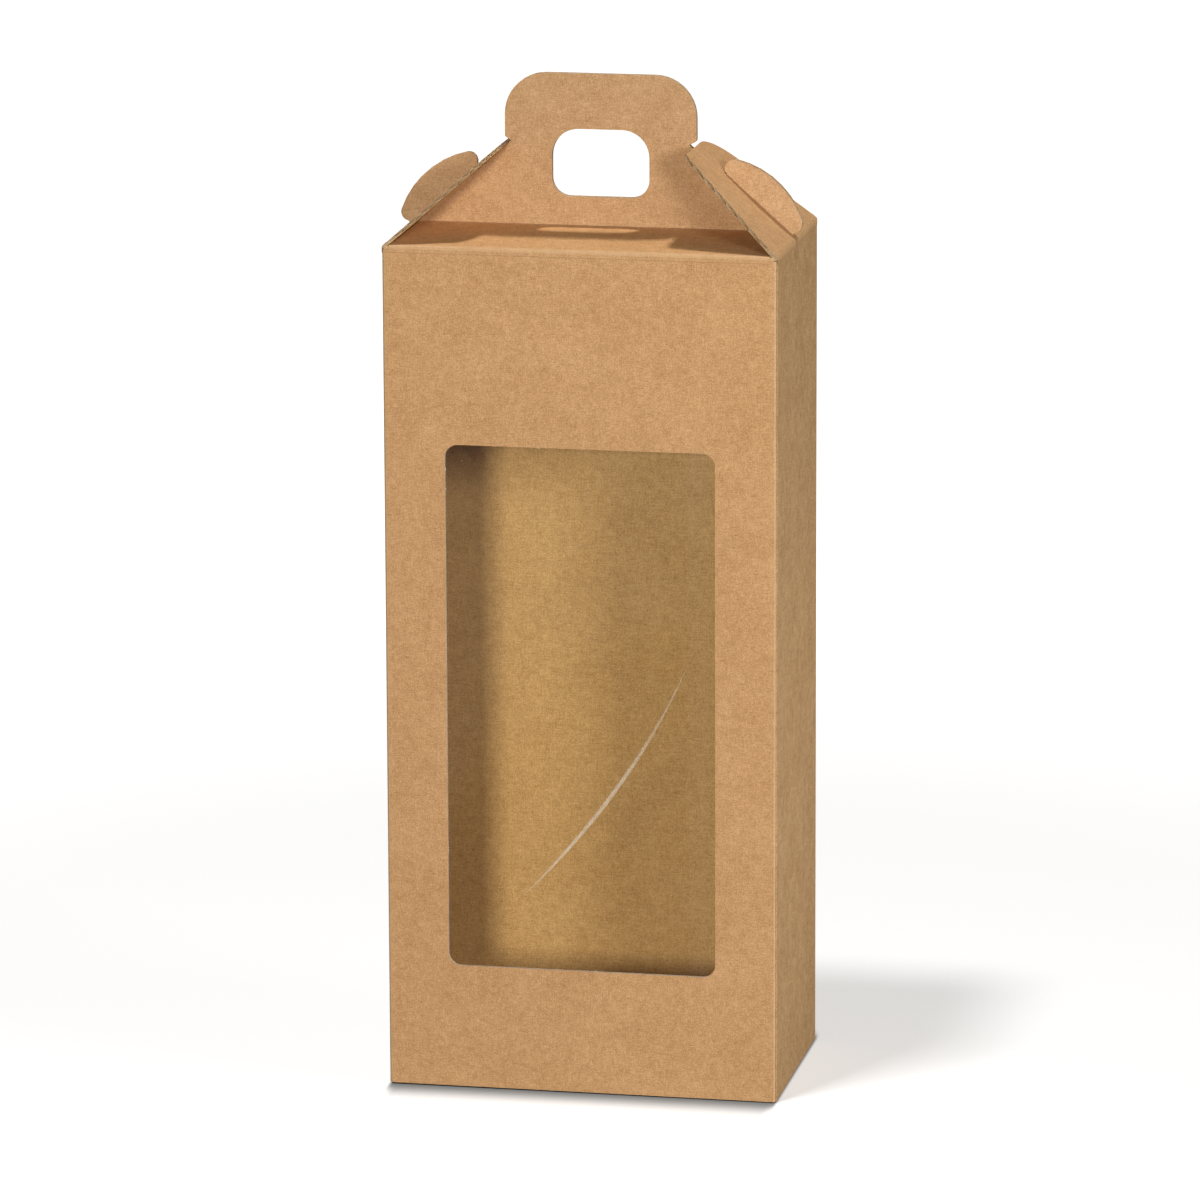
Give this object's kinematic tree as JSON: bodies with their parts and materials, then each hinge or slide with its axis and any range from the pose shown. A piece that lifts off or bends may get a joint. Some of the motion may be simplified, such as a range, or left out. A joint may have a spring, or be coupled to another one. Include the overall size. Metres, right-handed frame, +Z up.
{
  "type": "cardboard carry box",
  "caption": "Tall carry box of corrugated board with a film window, gable lock flaps over half-moon ears, and a double handle with a hand hole.",
  "frame": {"origin": "middle of the bottom, on the floor", "axes": "+Z up, the window faces -Y, +X to the right as seen from the front"},
  "size_m": [0.1848, 0.106, 0.4618],
  "materials": {
    "kraft_outside": "matt brown kraft liner, fine fibres",
    "kraft_side": "matt brown kraft liner, a little darker and browner",
    "kraft_inside": "matt brown kraft liner of the inside",
    "window_film": "clear glossy film"
  },
  "bodies": {
    "sleeve": {"front_panel": "kraft_outside", "right_side_panel": "kraft_side", "back_panel": "kraft_outside", "left_side_panel": "kraft_side", "seam_flap": "kraft_inside", "window_film": "window_film", "front_bottom_flap": "kraft_inside", "back_bottom_flap": "kraft_inside", "left_bottom_flap": "kraft_inside", "right_bottom_flap": "kraft_inside", "left_corner_tab": "kraft_inside", "right_corner_tab": "kraft_inside"},
    "front_top": {"front_top_panel": "kraft_outside"},
    "back_top": {"back_top_panel": "kraft_outside"},
    "front_grip": {"front_handle": "kraft_outside", "front_left_ear": "kraft_outside", "front_right_ear": "kraft_outside"},
    "back_grip": {"back_handle": "kraft_outside", "back_left_ear": "kraft_outside", "back_right_ear": "kraft_outside"},
    "left_lock": {"left_lock_flap": "kraft_outside"},
    "right_lock": {"right_lock_flap": "kraft_outside"}
  },
  "joints": [
    {"name": "front_top_fold", "type": "hinge", "parent": "sleeve", "child": "front_top", "pos_m": [0, -0.0522, 0.3892], "axis": [1, 0, 0], "range_deg": [0, 90]},
    {"name": "back_top_fold", "type": "hinge", "parent": "sleeve", "child": "back_top", "pos_m": [0, 0.0522, 0.3892], "axis": [-1, 0, 0], "range_deg": [0, 90]},
    {"name": "front_grip_fold", "type": "hinge", "parent": "front_top", "child": "front_grip", "pos_m": [0, -0.00095, 0.39185], "axis": [-1, 0, 0], "range_deg": [0, 90]},
    {"name": "back_grip_fold", "type": "hinge", "parent": "back_top", "child": "back_grip", "pos_m": [0, 0.00095, 0.39185], "axis": [1, 0, 0], "range_deg": [0, 90]},
    {"name": "left_lock_fold", "type": "hinge", "parent": "sleeve", "child": "left_lock", "pos_m": [-0.0892, 0, 0.3892], "axis": [0, -1, 0], "range_deg": [0, 135], "deforming": ["front_left_ear", "back_left_ear"]},
    {"name": "right_lock_fold", "type": "hinge", "parent": "sleeve", "child": "right_lock", "pos_m": [0.0892, 0, 0.3892], "axis": [0, 1, 0], "range_deg": [0, 135], "deforming": ["front_right_ear", "back_right_ear"]}
  ],
  "couplings": [
    {"joint": "back_top_fold", "follows": "front_top_fold", "ratio": 1},
    {"joint": "front_grip_fold", "follows": "front_top_fold", "ratio": 1},
    {"joint": "back_grip_fold", "follows": "front_top_fold", "ratio": 1},
    {"joint": "left_lock_fold", "follows": "front_top_fold", "ratio": 1.5},
    {"joint": "right_lock_fold", "follows": "front_top_fold", "ratio": 1.5}
  ]
}
